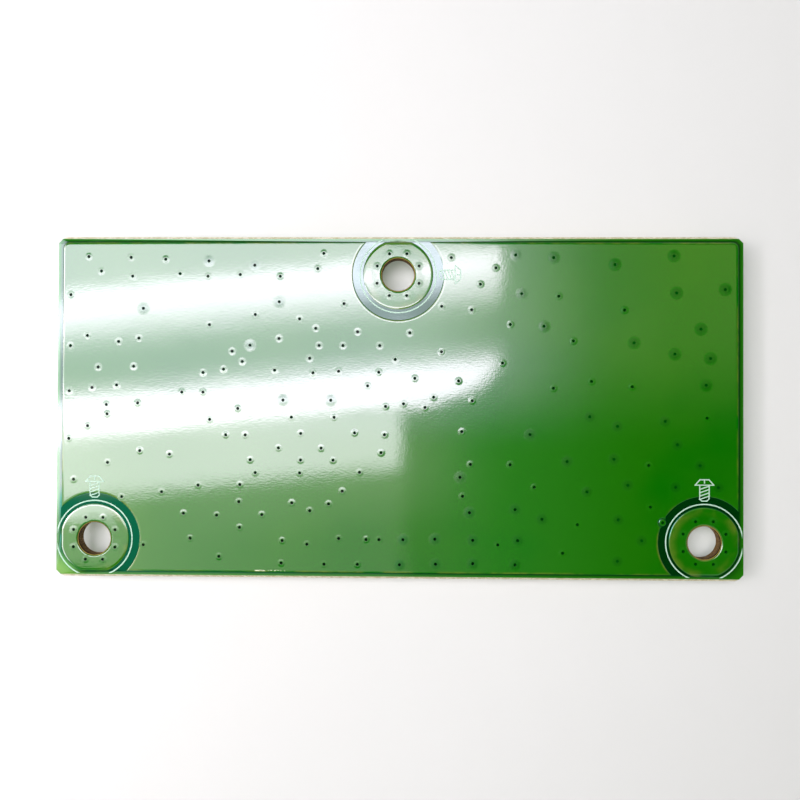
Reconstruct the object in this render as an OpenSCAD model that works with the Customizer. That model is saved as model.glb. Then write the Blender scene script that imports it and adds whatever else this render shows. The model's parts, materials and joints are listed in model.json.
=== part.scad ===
// Timing controller (t-con) board of a flat panel display, lying with its component side down.
// +Z is the ground side with the three screw holes. z = 0 is the plane that the sockets rest on,
// and the origin lies under the middle of the board. All sizes are in millimetres.

/* [Board] */
// Length of the board along X
board_w = 80; // [78:0.5:100]
// Width of the board along Y
board_d = 40; // [39:0.5:50]
// Thickness of the bare laminate
board_t = 1.2; // [1.0:0.1:1.6]
// Cut across each corner, along either edge
corner_cut = 0.8; // [0.5:0.1:1.2]
// Width of the score bevel along the two long edges
score_w = 0.3; // [0.1:0.05:0.4]
// Depth of the score bevel from either face
score_depth = 0.4; // [0.2:0.05:0.45]

/* [Screw holes] */
// Diameter of the three drilled holes
hole_d = 3.8; // [3.2:0.1:4.2]
// Distance of the two lower holes from the short edges
hole_from_end = 4.5; // [4.3:0.1:5.5]
// Distance of all three holes from their long edge
hole_from_side = 4.5; // [4.3:0.1:5.5]
// Bare laminate left round each hole, before copper and mask begin
hole_rim = 0.2; // [0.2:0.05:0.35]
// Diameter of the copper pad round each hole
pad_d = 8.0; // [7.2:0.1:8.4]
// Diameter of the printed ring, on its middle line
ring_d = 8.9; // [8.7:0.1:9.4]
// Line width of the printed ring
ring_line = 0.14; // [0.1:0.02:0.2]
// Gap that the printed ring keeps from the edges of the mask
ring_edge_gap = 0.15; // [0.05:0.05:0.3]
// Diameter of the copper-free field round each hole
clear_d = 10.8; // [10.2:0.1:11.4]
// Small vias in each screw pad
stitch_count = 8; // [4:1:10]
// Diameter of the circle those vias stand on
stitch_d = 5.3; // [5.2:0.1:5.8]

/* [Copper, mask and ink] */
// Thickness of the copper on either face
copper_t = 0.05; // [0.04:0.01:0.1]
// Thickness of the solder mask, over laminate and copper alike
mask_t = 0.03; // [0.02:0.005:0.035]
// Thickness of the printed ink
ink_t = 0.02; // [0.01:0.005:0.03]
// Distance of the ground copper from the short edges
pour_from_end = 0.65; // [0.4:0.05:0.9]
// Distance of the ground copper from the long edges
pour_from_side = 0.8; // [0.6:0.1:1.0]
// Corner radius of the ground copper
pour_corner_r = 0.6; // [0.3:0.1:1.2]

/* [Vias] */
// Open diameter of a via
via_d = 0.3; // [0.2:0.05:0.35]
// Diameter of the copper land of a signal via
land_d = 0.7; // [0.6:0.05:0.8]
// Diameter of the gap in the ground copper round a signal via
antipad_d = 1.2; // [1.0:0.05:1.4]
// Height of the lacquer rim round a via mouth
rim_h = 0.03; // [0.02:0.005:0.05]

/* [Sockets] */
// Height of the three sockets over their solder pads
socket_h = 2.5; // [2.4:0.1:3.5]
// Depth of a socket from its mouth to its back
socket_depth = 5.0; // [4.6:0.1:5.4]
// Gap between a socket's mouth and the long edge of the board
socket_edge_gap = 0.5; // [0.3:0.1:0.8]
// Spacing of the contacts
contact_pitch = 0.5; // [0.45:0.01:0.5]
// Width of one contact
contact_w = 0.25; // [0.2:0.01:0.3]
// Thickness of the contact strip
contact_t = 0.15; // [0.1:0.01:0.2]
// Length of the soldered foot of a contact
contact_foot = 0.7; // [0.5:0.1:0.8]
// Contacts of the input socket
input_contact_count = 51; // [31:1:51]
// Contacts of each output socket
output_contact_count = 45; // [30:1:45]
// Solid end of a socket beside its contact row
socket_end = 1.8; // [1.4:0.1:1.9]
// Height of the slot floor over the solder pads
slot_floor = 0.9; // [0.7:0.1:1.0]
// Height of the cable slot
slot_h = 0.6; // [0.4:0.1:0.7]
// Depth of the cable slot
slot_depth = 3.6; // [3:0.1:4]
// Bevel over the mouth of the slot
slot_bevel = 0.3; // [0.1:0.05:0.4]
// Sheet thickness of the input shell and of the hold-down tabs
sheet_t = 0.2; // [0.15:0.05:0.25]
// Soldered foot of a tab or of the shell
tab_foot = 0.8; // [0.6:0.1:0.9]
// Length of a tab along the socket's end
tab_len = 2.4; // [1.6:0.1:3]
// Height of a tab
tab_h = 1.5; // [1:0.1:2]
// Housing left bare in front of the input shell
shell_setback = 0.6; // [0.4:0.1:1]
// Stamped windows in the roof of the input shell
shell_window_count = 6; // [4:1:7]
// One shell window, along and across the socket
shell_window = [2.6, 1.6]; // [1:0.1:3]

/* [Chips] */
// Side of the square timing controller body
timing_w = 14; // [13:0.5:14]
// Height of the square chips over the board
square_chip_h = 1.5; // [1.2:0.1:1.8]
// Leads on each side of the timing controller
timing_lead_count = 25; // [16:1:25]
// Side of the square power chip body
power_w = 7; // [6.5:0.5:7.5]
// Leads on each side of the power chip
power_lead_count = 12; // [8:1:12]
// Lead spacing of the square chips
square_chip_pitch = 0.5; // [0.4:0.05:0.5]
// Body of the level shifter, along and across its lead rows
shifter_size = [9.7, 4.4]; // [4:0.1:10]
// Leads on each long side of the level shifter
shifter_lead_count = 14; // [10:1:14]
// Body of the gamma chip, along and across its lead rows
gamma_size = [7.8, 4.4]; // [4:0.1:8]
// Leads on each long side of the gamma chip
gamma_lead_count = 12; // [8:1:12]
// Height of the two thin chips over the board
thin_chip_h = 1.2; // [1:0.1:1.5]
// Lead spacing of the two thin chips
thin_chip_pitch = 0.65; // [0.5:0.05:0.65]
// Body of the memory chip, along and across its lead rows
memory_size = [4.9, 3.9]; // [3.6:0.1:5]
// Height of the memory chip over the board
memory_h = 1.7; // [1.4:0.1:1.8]
// Lead spacing of the memory chip
memory_pitch = 1.27; // [1:0.01:1.27]
// Leads on each long side of the memory chip
memory_lead_count = 4; // [3:1:4]
// Gap between a chip body and the solder pads
chip_standoff = 0.1; // [0.05:0.05:0.2]
// Reach of a bent lead beyond the chip body
lead_reach = 1.0; // [0.9:0.1:1.2]
// Flat shoulder of a bent lead
lead_shoulder = 0.35; // [0.3:0.05:0.4]
// Lean of the bent part of a lead
lead_lean = 0.15; // [0.05:0.05:0.2]
// Thickness of a bent lead
lead_t = 0.15; // [0.1:0.01:0.18]
// Narrowing of a moulded body from its lead line to its top and bottom
mould_draft = 0.15; // [0.05:0.05:0.3]
// Diameter of the moulded mark by the first lead
mark_d = 0.9; // [0.6:0.1:1.2]
// Depth of the moulded mark
mark_depth = 0.1; // [0.05:0.05:0.2]

/* [Power parts] */
// Side of the square power inductors
inductor_w = 6.2; // [5:0.1:6.4]
// Height of the power inductors over the board
inductor_h = 2.3; // [1.8:0.1:2.4]
// Cut across the upright edges of an inductor
inductor_corner = 0.7; // [0.3:0.1:1]
// Width of an inductor terminal
inductor_tab = 2.4; // [1.6:0.1:3]
// Length of the terminal foot under the inductor
inductor_foot = 1.4; // [1:0.1:1.8]
// Height of the terminal on the inductor's end
inductor_tab_h = 1.2; // [0.8:0.1:1.5]
// Body of a rectifier diode, along and across its terminals
diode_size = [4.3, 2.6]; // [2:0.1:4.5]
// Height of a rectifier diode over the board
diode_h = 2.2; // [1.8:0.1:2.3]
// Width of a diode terminal
diode_tab = 1.4; // [1:0.1:1.8]

/* [Small parts] */
// Bulk ceramic capacitor: length, width, height
bulk_cap = [3.2, 1.6, 1.4]; // [1:0.1:3.3]
// Small ceramic capacitor: length, width, height
small_cap = [1.0, 0.5, 0.5]; // [0.3:0.05:1]
// Resistor: length, width, height
resistor = [1.0, 0.5, 0.35]; // [0.3:0.05:1]
// Fuse: length, width, height
fuse = [3.2, 1.6, 0.8]; // [0.6:0.1:3.3]
// Share of a small part's length in either end cap
end_share = 0.2; // [0.1:0.01:0.3]
// Solder pad showing round a terminal
pad_margin = 0.12; // [0.08:0.01:0.15]
// Gap between a solder pad and the mask round it
mask_gap = 0.08; // [0.05:0.01:0.1]

/* [Hidden] */
$fn = 48;
// Overshoot of a cut beyond the face it goes through
cut = 1;

// Levels, from the resting plane up
z_seat = socket_h;
z_front = z_seat + copper_t;
z_back = z_front + board_t;
z_copper = z_back + copper_t;
z_mask = z_copper + mask_t;

// The board was drawn at this size, and everything placed on it follows its real size
drawn = [80, 40];
function on_board(p) = [p.x * board_w / drawn.x, p.y * board_d / drawn.y];

// Screw holes: one at the upper edge and two at the lower corners
hole_x = board_w / 2 - hole_from_end;
hole_y = board_d / 2 - hole_from_side;
holes = [[0, hole_y], [-hole_x, -hole_y], [hole_x, -hole_y]];

// Ground vias, which join the copper of the ground side, by their places on the drawn board
ground_via_places = [
    [-36.4, 17.6], [-34.9, 15.9], [-31.4, 17.5], [-31.2, 15.3], [-27.3, 17.3], [-25.6, 15.6], [-22.3, 15.3],
    [-38.5, 13.1], [-22.1, 9.6], [-36.5, 8.3], [-38.5, 7.1], [-32.8, 7.6], [-30.4, 8.0], [-35.2, 4.6],
    [-31.0, 4.7], [-22.8, 4.0], [-20.4, 4.4], [-35.9, 2.2], [-33.0, 2.5], [-38.6, 1.8], [-25.3, 1.7],
    [-22.8, 1.7], [-34.2, 0.2], [-30.5, 0.4], [-34.1, -0.9], [-22.0, -1.5], [-36.4, -2.3], [-20.1, -3.3],
    [-38.6, -3.8], [-30.2, -5.2], [-26.7, -5.6], [-34.0, -6.6], [-38.0, -8.6], [-23.3, -9.2], [-27.6, -10.0],
    [-32.3, -10.6], [-25.0, -12.5], [-21.1, -12.7], [-24.2, -15.4], [-29.7, -16.2], [-20.8, -17.5],
    [-8.7, 18.0], [-9.4, 16.2], [-18.5, 15.5], [-13.8, 15.3], [-6.3, 12.1], [-16.7, 10.8], [-11.5, 10.3],
    [-9.6, 9.2], [-4.7, 8.8], [-13.9, 8.0], [-9.2, 7.2], [-6.4, 7.2], [-2.1, 7.2], [-19.4, 6.5], [-10.3, 5.7],
    [-0.3, 5.6], [-18.2, 5.3], [-14.4, 4.3], [-9.9, 4.0], [-6.9, 4.2], [-2.2, 4.1], [-3.5, 2.5], [-1.4, 0.1],
    [-18.7, -0.2], [-12.4, -1.2], [-7.4, -1.2], [-17.8, -3.3], [-11.3, -3.1], [-5.0, -3.0], [-1.5, -3.2],
    [-13.9, -4.8], [-8.9, -4.8], [-1.9, -5.3], [-17.2, -6.2], [-11.3, -6.2], [-7.5, -6.2], [-16.6, -7.7],
    [-11.4, -7.7], [-4.4, -7.6], [-18.4, -9.1], [-6.4, -9.8], [-18.5, -11.1], [-12.3, -11.2], [-8.0, -11.3],
    [-10.2, -12.1], [-15.8, -12.6], [-18.4, -14.1], [-13.4, -15.6], [-10.5, -16.0], [-6.8, -15.3],
    [-3.6, -15.4], [-2.1, -15.4], [-13.5, -18.2], [-8.5, -18.3], [-4.6, -18.3], [0.7, 0.4], [6.2, 17.5],
    [11.4, 16.3], [9.6, 14.4], [18.7, 13.0], [5.1, 11.8], [8.6, 11.4], [13.1, 9.7], [1.4, 8.7], [5.1, 6.5],
    [12.2, 5.2], [2.0, 3.4], [7.1, 3.1], [18.1, 2.3], [4.2, 1.2], [8.7, 0.8], [3.2, 0.0], [7.5, -2.8],
    [8.5, -6.6], [13.1, -6.6], [15.9, -9.2], [7.6, -10.3], [11.7, -15.9], [19.2, -16.8], [20.4, 7.8],
    [20.9, -13.5], [26.3, 11.4], [22.5, 3.1], [27.2, 2.5], [35.8, -1.1], [29.1, -6.6], [29.3, -11.4]
];
// Signal vias, which pass through the ground copper without touching it
signal_via_places = [
    [-22.2, 17.1], [-29.9, 11.5], [-16.8, 16.6], [-13.9, 12.3], [-17.3, 7.2], [-13.4, 0.8], [-7.8, 0.8],
    [13.7, 17.8], [18.1, 17.5], [14.4, 13.3], [17.0, 9.5], [15.4, -3.1], [19.7, -6.2], [7.3, -8.1],
    [8.4, -12.2], [13.7, -11.8], [16.8, -12.9], [0.7, -15.4], [4.4, -15.3], [8.8, -15.4], [14.0, -15.4],
    [0.3, -18.3], [4.5, -18.2], [8.8, -18.1], [13.7, -18.2], [25.2, 16.7], [32.0, 17.7], [32.3, 13.4],
    [37.9, 13.8], [35.1, 9.2], [27.4, 7.6], [32.1, 6.3], [36.2, 5.8], [35.7, 2.7], [22.3, -1.0], [25.5, -2.1],
    [31.0, -1.5], [32.4, -4.2], [25.1, -5.9], [35.0, -6.6], [26.7, -8.9], [32.2, -9.1], [22.0, -9.7],
    [37.1, -9.1], [25.6, -12.9], [30.7, -13.2], [28.3, -15.3], [25.5, -17.7]
];
rim_r = land_d / 2 + mask_t;
function hole_gap(p) = min([for (h = holes) norm(p - h)]);
function in_pour(p, r) =
    abs(p.x) < board_w / 2 - pour_from_end - r && abs(p.y) < board_d / 2 - pour_from_side - r;
ground_vias = [for (v = ground_via_places) let (p = on_board(v))
    if (in_pour(p, rim_r) && hole_gap(p) > clear_d / 2 + rim_r) p];
signal_vias = [for (v = signal_via_places) let (p = on_board(v))
    if (in_pour(p, antipad_d / 2) && hole_gap(p) > ring_d / 2 + ring_line + rim_r) p];
stitch_vias = [for (h = holes, i = [0 : stitch_count - 1]) let (a = (i + 0.5) * 360 / stitch_count)
    h + stitch_d / 2 * [cos(a), sin(a)]];
all_vias = concat(ground_vias, signal_vias, stitch_vias);

// Chips: body along the lead rows, body across them, height, leads on the two sides that face along Y,
// leads on the two sides that face along X, lead spacing
timing = [timing_w, timing_w, square_chip_h, timing_lead_count, timing_lead_count, square_chip_pitch];
power = [power_w, power_w, square_chip_h, power_lead_count, power_lead_count, square_chip_pitch];
shifter = [shifter_size.x, shifter_size.y, thin_chip_h, shifter_lead_count, 0, thin_chip_pitch];
gamma = [gamma_size.x, gamma_size.y, thin_chip_h, gamma_lead_count, 0, thin_chip_pitch];
memory = [memory_size.x, memory_size.y, memory_h, memory_lead_count, 0, memory_pitch];
// A lead is this share of the spacing wide
lead_share = 0.45;
lead_w_max = 0.42;
function lead_w(chip) = min(chip[5] * lead_share, lead_w_max);

// Places on the component side, as seen through the board from the ground side: x, y and turn
timing_at = [4, -1.5, 0];
power_at = [-16, 4, 0];
shifter_at = [-17, -7, 0];
gamma_at = [24, -5.2, 0];
memory_at = [19, 4.5, 0];
inductors_at = [[-33.5, 14.5, 0], [-24.5, 14.5, 90], [-33.5, 4.5, 0]];
diodes_at = [[-16.2, 15.2, 0], [-33.5, -2.4, 0]];
fuse_at = [36.5, 6, 90];
bulk_caps_at = [
    [-25, 9, 0], [-25, 6.5, 0], [-25, 4, 0], [-25, 1.5, 0], [-8.6, 15.6, 0], [-8.6, 13, 0],
    [26, 8.4, 0], [26, 5.6, 0], [31, 8.4, 0], [31, 5.6, 0], [-29, -7, 90], [-32, -7, 90]
];
// Rows of small parts: first x, first y, step in x, step in y, count and turn
small_cap_rows = [
    [-6.4, -8, 0, 2.2, 7, 0], [14.4, -8, 0, 2.2, 6, 0], [-2, -11.4, 2, 0, 7, 90], [-1, 8.6, 2, 0, 6, 90],
    [-20, 10.4, 2, 0, 5, 90], [-9.4, -1, 0, 2, 6, 0], [-24.6, -10, 0, 2, 4, 0], [-9.4, -10, 0, 2, 4, 0],
    [21, -0.6, 2, 0, 4, 90]
];
resistor_rows = [
    [10, 11.6, 2, 0, 13, 90], [-26, -11.9, 1.5, 0, 13, 90], [14, -11.9, 1.5, 0, 10, 90],
    [-20, -2.2, 1.5, 0, 6, 90], [31, -8, 0, 1.4, 8, 0], [34.4, -5, 0, 1.4, 5, 0]
];
function row_places(rows) =
    [for (r = rows, i = [0 : r[4] - 1]) [r[0] + i * r[2], r[1] + i * r[3], r[5]]];
small_caps_at = row_places(small_cap_rows);
resistors_at = row_places(resistor_rows);

// Sockets, by their middle
socket_y = board_d / 2 - socket_edge_gap - socket_depth / 2;
input_at = [21 * board_w / drawn.x, socket_y];
output_x = 14.6 * board_w / drawn.x;
input_len = input_contact_count * contact_pitch + 2 * socket_end - 2 * sheet_t;
output_len = output_contact_count * contact_pitch + 2 * socket_end;
// A contact's strip starts this far inside the mouth and comes down this far behind the housing
contact_start = 0.8;
contact_drop = 0.3;
// Side play of the contact row and of the cable
row_play = 0.2;

// Flat shapes of the board

// Outline of the board, drawn in from the long edges
module board_outline(inset = 0) {
    hx = board_w / 2;
    hy = board_d / 2;
    polygon([
        [-hx, -hy + corner_cut], [-hx + corner_cut - inset, -hy + inset],
        [hx - corner_cut + inset, -hy + inset], [hx, -hy + corner_cut],
        [hx, hy - corner_cut], [hx - corner_cut + inset, hy - inset],
        [-hx + corner_cut - inset, hy - inset], [-hx, hy - corner_cut]
    ]);
}

// Rectangle with true round corners, about the origin
module round_rect(w, d, r) {
    square([w, d - 2 * r], center = true);
    square([w - 2 * r, d], center = true);
    for (sx = [-1, 1], sy = [-1, 1])
        translate([sx * (w / 2 - r), sy * (d / 2 - r)])
            circle(r);
}

module at_places(places) {
    for (p = places)
        translate([p.x, p.y])
            children();
}

// Field of the ground copper, grown outward by g
module pour_field(g = 0) {
    round_rect(board_w - 2 * (pour_from_end - g), board_d - 2 * (pour_from_side - g), pour_corner_r + g);
}

// Ground copper in plan, grown by g all round
module pour_2d(g = 0) {
    difference() {
        pour_field(g);
        at_places(holes)
            circle(d = clear_d - 2 * g);
        at_places(signal_vias)
            circle(d = antipad_d - 2 * g);
    }
}

// Screw pads in plan, cut off where the ground copper ends too, grown by g
module pads_2d(g = 0) {
    intersection() {
        at_places(holes)
            circle(d = pad_d + 2 * g);
        pour_field(g);
    }
}

module lands_2d(g = 0) {
    at_places(signal_vias)
        circle(d = land_d + 2 * g);
}

module hole_openings() {
    at_places(holes)
        circle(d = hole_d + 2 * hole_rim);
}

module via_openings(places) {
    at_places(places)
        circle(d = via_d);
}

// Bare board

module laminate() {
    color("tan")
        difference() {
            intersection() {
                translate([0, 0, z_front])
                    linear_extrude(board_t)
                        difference() {
                            board_outline();
                            via_openings(all_vias);
                        }
                scored_section();
            }
            for (h = holes)
                translate([h.x, h.y, z_front - cut])
                    cylinder(d = hole_d, h = board_t + 2 * cut);
        }
}

// Section of the board across its long edges, with the score bevels on both faces
module scored_section() {
    hy = board_d / 2;
    rotate([90, 0, 90])
        linear_extrude(board_w + 2 * cut, center = true)
            polygon([
                [-hy + score_w, z_front], [hy - score_w, z_front], [hy, z_front + score_depth],
                [hy, z_back - score_depth], [hy - score_w, z_back], [-hy + score_w, z_back],
                [-hy, z_back - score_depth], [-hy, z_front + score_depth]
            ]);
}

module ground_copper() {
    color("peru")
        translate([0, 0, z_back])
            linear_extrude(copper_t)
                difference() {
                    pour_2d();
                    via_openings(ground_vias);
                }
}

module screw_pads() {
    color("peru")
        translate([0, 0, z_back])
            linear_extrude(copper_t)
                difference() {
                    pads_2d();
                    hole_openings();
                    via_openings(stitch_vias);
                }
}

module via_lands() {
    color("peru")
        translate([0, 0, z_back])
            linear_extrude(copper_t)
                difference() {
                    lands_2d();
                    via_openings(signal_vias);
                }
}

// Solder mask of the ground side: it lies on the laminate and steps up over the copper
module ground_side_mask() {
    color("green")
        translate([0, 0, z_back]) {
            linear_extrude(mask_t)
                difference() {
                    board_outline(score_w);
                    pour_2d();
                    pads_2d();
                    lands_2d();
                    hole_openings();
                }
            mask_step(mask_t, copper_t)
                difference() {
                    copper_2d(mask_t);
                    copper_2d();
                    hole_openings();
                }
            mask_step(copper_t, copper_t + mask_t)
                difference() {
                    copper_2d(mask_t);
                    hole_openings();
                    via_openings(all_vias);
                }
        }
}

// One layer of the mask, from one height over the laminate to another
module mask_step(from, to) {
    translate([0, 0, from])
        linear_extrude(to - from)
            children();
}

module copper_2d(g = 0) {
    pour_2d(g);
    pads_2d(g);
    lands_2d(g);
}

// Low rim that the mask lacquer leaves round every via mouth
module via_rims() {
    color("darkgreen")
        for (v = all_vias)
            translate([v.x, v.y, z_mask])
                rotate_extrude()
                    polygon([
                        [via_d / 2, 0], [rim_r, 0], [(via_d / 2 + rim_r) / 2, rim_h], [via_d / 2, rim_h]
                    ]);
}

module printed_rings() {
    mask_hx = board_w / 2 - ring_edge_gap;
    mask_hy = board_d / 2 - score_w - ring_edge_gap;
    color("white")
        translate([0, 0, z_back + mask_t])
            linear_extrude(ink_t)
                intersection() {
                    at_places(holes)
                        difference() {
                            circle(d = ring_d + ring_line);
                            circle(d = ring_d - ring_line);
                        }
                    square([2 * mask_hx, 2 * mask_hy], center = true);
                }
}

// Component side

// Stands a part on the solder pads of the component side, its own +Z pointing away from the board
module on_front(place) {
    p = on_board(place);
    translate([p.x, p.y, z_seat])
        rotate([180, 0, place[2]])
            children();
}

module on_front_flat(place) {
    p = on_board(place);
    translate([p.x, p.y])
        rotate(place[2])
            mirror([0, 1])
                children();
}

// The same for sockets, whose mouth is their own +Y side
module at_input() {
    translate([input_at.x, input_at.y, z_seat])
        rotate([180, 0, 180])
            children();
}

module at_output(side) {
    translate([side * output_x, -socket_y, z_seat])
        rotate([180, 0, 0])
            children();
}

// Block standing on z = 0 about the Z axis
module block(size) {
    translate([-size.x / 2, -size.y / 2, 0])
        cube(size);
}

// Section in Y and Z, drawn out along X about the middle
module along_x(len) {
    rotate([90, 0, 90])
        linear_extrude(len, center = true)
            children();
}

// Section in X and Z, drawn out along Y about the middle
module along_y(len) {
    rotate([90, 0, 0])
        linear_extrude(len, center = true)
            children();
}

// Copper pads of the component side and the windows that the mask leaves round them

function contact_back() = -socket_depth / 2 - contact_drop;

// Pad or window of a row of contacts
module contact_row_2d(ways, each_pad, g) {
    len = contact_foot + contact_t + 2 * (pad_margin + g);
    y = contact_back() - (contact_foot - contact_t) / 2;
    if (each_pad)
        for (i = [0 : ways - 1])
            translate([(i - (ways - 1) / 2) * contact_pitch, y])
                square([contact_w + g, len], center = true);
    else
        translate([0, y])
            square([(ways - 1) * contact_pitch + contact_w + 2 * (pad_margin + g), len], center = true);
}

// Pads or windows of the two feet at a socket's ends
module foot_pair_2d(len, foot_len, foot_y, g) {
    for (s = [-1, 1])
        translate([s * (len / 2 + tab_foot / 2), foot_y])
            square([tab_foot, foot_len] + 2 * (pad_margin + g) * [1, 1], center = true);
}

function lead_start() = lead_shoulder + lead_lean - lead_t;
function lead_pad_len() = lead_reach - lead_start();

// Pads or windows of the lead rows of a chip
module chip_pads_2d(chip, each_pad, g) {
    for (turn = [0, 90]) {
        ways = turn == 0 ? chip[3] : chip[4];
        edge = turn == 0 ? chip[1] / 2 : chip[0] / 2;
        len = lead_pad_len() + 2 * (pad_margin + g);
        if (ways > 0)
            for (s = [-1, 1])
                rotate(turn)
                    translate([0, s * (edge + lead_start() + lead_pad_len() / 2)])
                        if (each_pad)
                            for (i = [0 : ways - 1])
                                translate([(i - (ways - 1) / 2) * chip[5], 0])
                                    square([lead_w(chip), len], center = true);
                        else
                            square([(ways - 1) * chip[5] + lead_w(chip) + 2 * (pad_margin + g), len],
                                center = true);
    }
}

// Pads or windows of a part with a terminal at either end: total length, terminal length and width
module end_pads_2d(total, end_len, end_w, g) {
    for (s = [-1, 1])
        translate([s * (total - end_len) / 2, 0])
            square([end_len, end_w] + 2 * (pad_margin + g) * [1, 1], center = true);
}

module cap_pads_2d(size, places, g) {
    for (p = places)
        on_front_flat(p)
            end_pads_2d(size.x, size.x * end_share, size.y, g);
}

// Every pad, or every mask window, of the component side
module pads_of_components_2d(each_pad, g = 0) {
    translate([input_at.x, input_at.y]) {
        contact_row_2d(input_contact_count, each_pad, g);
        foot_pair_2d(input_len + 2 * sheet_t, shell_len(), -shell_setback / 2, g);
    }
    for (s = [-1, 1])
        translate([s * output_x, -socket_y])
            mirror([0, 1]) {
                contact_row_2d(output_contact_count, each_pad, g);
                foot_pair_2d(output_len, tab_len, 0, g);
            }
    on_front_flat(timing_at)
        chip_pads_2d(timing, each_pad, g);
    on_front_flat(power_at)
        chip_pads_2d(power, each_pad, g);
    on_front_flat(shifter_at)
        chip_pads_2d(shifter, each_pad, g);
    on_front_flat(gamma_at)
        chip_pads_2d(gamma, each_pad, g);
    on_front_flat(memory_at)
        chip_pads_2d(memory, each_pad, g);
    for (p = inductors_at)
        on_front_flat(p)
            end_pads_2d(inductor_w + 2 * sheet_t, inductor_foot + sheet_t, inductor_tab, g);
    for (p = diodes_at)
        on_front_flat(p)
            end_pads_2d(diode_size.x + 2 * lead_reach, lead_pad_len(), diode_tab, g);
    cap_pads_2d(fuse, [fuse_at], g);
    cap_pads_2d(bulk_cap, bulk_caps_at, g);
    cap_pads_2d(small_cap, small_caps_at, g);
    cap_pads_2d(resistor, resistors_at, g);
    intersection() {
        at_places(holes)
            circle(d = pad_d + 2 * g);
        pour_field(g);
    }
}

module component_side_mask() {
    color("green")
        translate([0, 0, z_front - mask_t])
            linear_extrude(mask_t)
                difference() {
                    board_outline(score_w);
                    pads_of_components_2d(false, mask_gap);
                }
}

module solder_pads() {
    color("silver")
        translate([0, 0, z_seat])
            linear_extrude(copper_t)
                difference() {
                    pads_of_components_2d(true);
                    hole_openings();
                }
}

// Sockets

// Moulded socket body with the cable slot and the window that its contacts leave through
module socket_housing(len, ways, h) {
    mouth = socket_depth / 2;
    slot_top = slot_floor + slot_h;
    difference() {
        block([len, socket_depth, h]);
        along_x(ways * contact_pitch + row_play)
            polygon([
                [mouth - slot_depth, slot_floor], [mouth + cut, slot_floor],
                [mouth + cut, slot_top + slot_bevel + cut], [mouth - slot_bevel, slot_top],
                [mouth - slot_depth, slot_top]
            ]);
        translate([0, -slot_depth, slot_floor])
            block([(ways - 1) * contact_pitch + contact_w + row_play, socket_depth, contact_t]);
    }
}

// Spring contacts: a strip on the slot floor, bent down behind the housing to a soldered foot
module socket_contacts(ways) {
    front = socket_depth / 2 - contact_start;
    back = contact_back();
    toe = back - contact_foot + contact_t;
    for (i = [0 : ways - 1])
        translate([(i - (ways - 1) / 2) * contact_pitch, 0, 0])
            along_x(contact_w)
                polygon([
                    [front, slot_floor], [front, slot_floor + contact_t], [back, slot_floor + contact_t],
                    [back, contact_t], [toe, contact_t], [toe, 0], [back + contact_t, 0],
                    [back + contact_t, slot_floor]
                ]);
}

// Hold-down tabs at both ends of a housing
module socket_tabs(len) {
    end = len / 2;
    for (s = [0, 1])
        mirror([s, 0, 0])
            along_y(tab_len)
                polygon([
                    [end, 0], [end + tab_foot, 0], [end + tab_foot, sheet_t], [end + sheet_t, sheet_t],
                    [end + sheet_t, tab_h], [end, tab_h]
                ]);
}

function shell_len() = socket_depth - shell_setback;

module input_socket_housing() {
    color("ivory")
        at_input()
            socket_housing(input_len, input_contact_count, socket_h - sheet_t);
}

// Stamped shell over the roof and the ends of the input socket, with its feet on the board
module input_socket_shell() {
    end = input_len / 2;
    outer = end + sheet_t;
    top = socket_h;
    step = input_len / shell_window_count;
    color("silver")
        at_input()
            translate([0, -shell_setback / 2, 0])
                difference() {
                    along_y(shell_len())
                        polygon([
                            [end, 0], [outer + tab_foot, 0], [outer + tab_foot, sheet_t], [outer, sheet_t],
                            [outer, top], [-outer, top], [-outer, sheet_t], [-outer - tab_foot, sheet_t],
                            [-outer - tab_foot, 0], [-end, 0], [-end, top - sheet_t], [end, top - sheet_t]
                        ]);
                    for (i = [0 : shell_window_count - 1])
                        translate([(i - (shell_window_count - 1) / 2) * step, 0, top - sheet_t - cut])
                            block([shell_window.x, shell_window.y, sheet_t + 2 * cut]);
                }
}

module input_socket_contacts() {
    color("gold")
        at_input()
            socket_contacts(input_contact_count);
}

module output_socket_housing(side) {
    color("ivory")
        at_output(side)
            socket_housing(output_len, output_contact_count, socket_h);
}

module output_socket_contacts(side) {
    color("gold")
        at_output(side)
            socket_contacts(output_contact_count);
}

module output_socket_tabs(side) {
    color("silver")
        at_output(side)
            socket_tabs(output_len);
}

// Chips

// Side view of a moulded body: widest at the lead line, drawn in above and below it
module mould_section(w, h) {
    line = h / 2 - lead_t / 2;
    half = w / 2;
    tip = half - mould_draft;
    polygon([
        [-tip, 0], [tip, 0], [half, line], [half, line + lead_t], [tip, h], [-tip, h],
        [-half, line + lead_t], [-half, line]
    ]);
}

module moulded_body(w, d, h) {
    intersection() {
        along_y(d + cut)
            mould_section(w, h);
        along_x(w + cut)
            mould_section(d, h);
    }
}

// Bent lead that leaves a body at x = 0 at the height of its lead line and ends in a flat foot
module bent_lead(w, line) {
    knee = lead_shoulder + lead_lean;
    along_y(w)
        polygon([
            [0, line + lead_t], [lead_shoulder, line + lead_t], [knee, lead_t], [lead_reach, lead_t],
            [lead_reach, 0], [knee - lead_t, 0], [lead_shoulder - lead_t, line], [0, line]
        ]);
}

function lead_line(h) = chip_standoff + (h - chip_standoff) / 2 - lead_t / 2;

module chip_body(chip) {
    h = chip[2] - chip_standoff;
    mark = min(chip[0], chip[1]) / 2 - mould_draft - mark_d;
    mark_x = chip[0] / 2 - chip[1] / 2 + mark;
    color("dimgray")
        difference() {
            translate([0, 0, chip_standoff])
                moulded_body(chip[0], chip[1], h);
            translate([-mark_x, -mark, chip[2] - mark_depth])
                cylinder(d = mark_d, h = mark_depth + cut);
        }
}

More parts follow.
